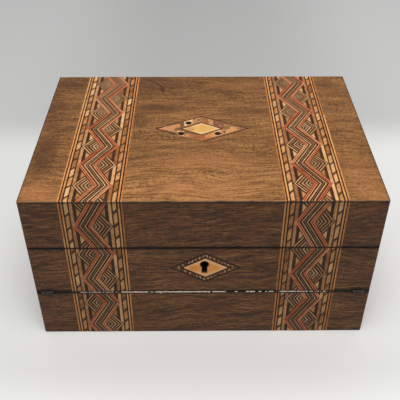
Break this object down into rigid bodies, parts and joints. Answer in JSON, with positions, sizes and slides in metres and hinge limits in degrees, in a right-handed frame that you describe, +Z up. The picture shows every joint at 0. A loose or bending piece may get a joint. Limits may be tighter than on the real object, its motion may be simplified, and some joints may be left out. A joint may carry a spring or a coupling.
{
  "type": "writing slope",
  "caption": "Wooden box with parquetry bands that opens into a sloping writing surface: hinged cover, fold-out lock tier, pen and ink section.",
  "frame": {"origin": "centre of the footprint, on the surface that the box stands on", "axes": "+Z up, +X to the right seen from the lock side, lock side faces -Y"},
  "size_m": [0.305, 0.2202, 0.161],
  "materials": {
    "walnut": "waxed, worn",
    "walnut_front": "darkened, waxed",
    "inner_wood": "plain, satin",
    "dark_wood": "waxed",
    "light_wood": "waxed",
    "red_wood": "waxed",
    "olive_wood": "waxed",
    "brass": "aged",
    "steel": "dull",
    "velvet": "short pile",
    "cloth": "frayed linen",
    "lining": "short pile",
    "glass": "clear"
  },
  "bodies": {
    "base": {"base_front_wall": "walnut_front", "base_back_wall": "walnut", "base_left_wall": "walnut", "base_right_wall": "walnut", "base_bottom_board": "inner_wood", "pen_section_partition": "inner_wood", "ink_compartments": "inner_wood", "flap_ledges": "inner_wood", "base_flap": "inner_wood", "base_flap_cloth": "velvet", "seam_cloth": "cloth", "tray_rests": "inner_wood", "front_hinge_base_leaves": "brass", "back_hinge_base_leaves": "brass", "hinge_pins": "brass", "base_band_ground": "dark_wood", "base_band_light": "light_wood", "base_band_red": "red_wood", "base_band_olive": "olive_wood"},
    "foldout": {"front_hinge_fold_leaves": "brass", "foldout_band_ground": "dark_wood", "foldout_band_light": "light_wood", "foldout_band_red": "red_wood", "foldout_band_olive": "olive_wood", "foldout_front_wall": "walnut_front", "foldout_left_cheek": "walnut", "foldout_right_cheek": "walnut", "foldout_side_rails": "inner_wood", "foldout_rear_rail": "inner_wood", "foldout_back_board": "inner_wood", "foldout_leaf": "inner_wood", "foldout_leaf_cloth": "velvet", "escutcheon_border": "dark_wood", "escutcheon_field": "light_wood", "lock_case": "brass", "lock_plate": "brass"},
    "lid": {"back_hinge_lid_leaves": "brass", "lid_band_ground": "dark_wood", "lid_band_light": "light_wood", "lid_band_red": "red_wood", "lid_band_olive": "olive_wood", "link_plate": "brass", "lid_top_board": "walnut", "lid_front_wall": "walnut_front", "lid_back_wall": "walnut", "lid_left_wall": "walnut", "lid_right_wall": "walnut", "lid_lining": "lining", "letter_board": "inner_wood", "lozenge_border": "dark_wood", "lozenge_field": "light_wood"},
    "lock_bolt_body": {"lock_bolt": "steel"},
    "pen_tray_body": {"pen_tray": "inner_wood"},
    "inkwell_left": {"inkwell_left_bottle": "glass", "inkwell_left_collar": "brass"},
    "inkwell_right": {"inkwell_right_bottle": "glass", "inkwell_right_collar": "brass"},
    "cap_left": {"inkwell_left_cap": "brass"},
    "cap_right": {"inkwell_right_cap": "brass"}
  },
  "joints": [
    {"name": "lid_open", "type": "hinge", "parent": "base", "child": "lid", "pos_m": [0, 0.10825, 0.1092], "axis": [-1, 0, 0], "range_deg": [0, 105]},
    {"name": "slope_fold", "type": "hinge", "parent": "base", "child": "foldout", "pos_m": [0, -0.10825, 0.0547], "axis": [1, 0, 0], "range_deg": [0, 180]},
    {"name": "lock_bolt_slide", "type": "slide", "parent": "foldout", "child": "lock_bolt_body", "axis": [1, 0, 0], "range_m": [0, 0.003]},
    {"name": "pen_tray_lift", "type": "slide", "parent": "base", "child": "pen_tray_body", "axis": [0, 0, 1], "range_m": [0, 0.04]},
    {"name": "inkwell_left_lift", "type": "slide", "parent": "base", "child": "inkwell_left", "axis": [0, 0, 1], "range_m": [0, 0.035]},
    {"name": "inkwell_right_lift", "type": "slide", "parent": "base", "child": "inkwell_right", "axis": [0, 0, 1], "range_m": [0, 0.035]},
    {"name": "cap_left_hinge", "type": "hinge", "parent": "inkwell_left", "child": "cap_left", "pos_m": [-0.123, 0.0906, 0.09715], "axis": [-1, 0, 0], "range_deg": [0, 95]},
    {"name": "cap_right_hinge", "type": "hinge", "parent": "inkwell_right", "child": "cap_right", "pos_m": [0.123, 0.0906, 0.09715], "axis": [-1, 0, 0], "range_deg": [0, 95]}
  ],
  "couplings": [
    {"joint": "slope_fold", "follows": "lid_open", "ratio": 1.714}
  ]
}
